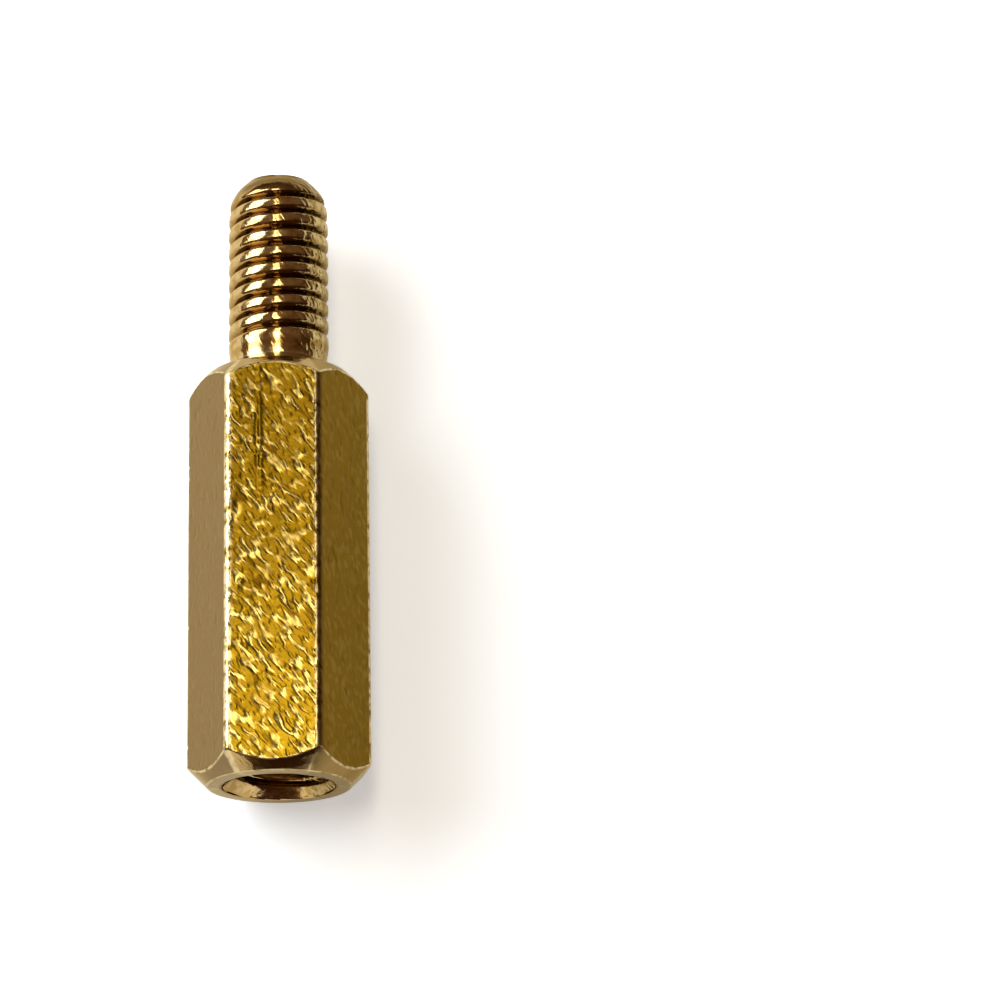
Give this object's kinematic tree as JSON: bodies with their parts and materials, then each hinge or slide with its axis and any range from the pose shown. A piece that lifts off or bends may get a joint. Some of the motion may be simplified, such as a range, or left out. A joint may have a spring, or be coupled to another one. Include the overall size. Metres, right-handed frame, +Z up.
{
  "type": "hex standoff",
  "caption": "Male-female hex standoff in brass: a hexagonal body with turned chamfers, a threaded stud at one end and a blind tapped hole in the other.",
  "frame": {"origin": "under the middle of the standoff's length, on the flat that it lies on", "axes": "+Y along the axis towards the tip of the stud, +Z up from the flat that it lies on, +X across two corners of the hexagon"},
  "size_m": [0.0052, 0.018, 0.0045],
  "materials": {
    "brass": "drawn flats with small dents, turned ends, bright thread"
  },
  "bodies": {
    "root": {"hex_standoff": "brass"}
  },
  "joints": []
}
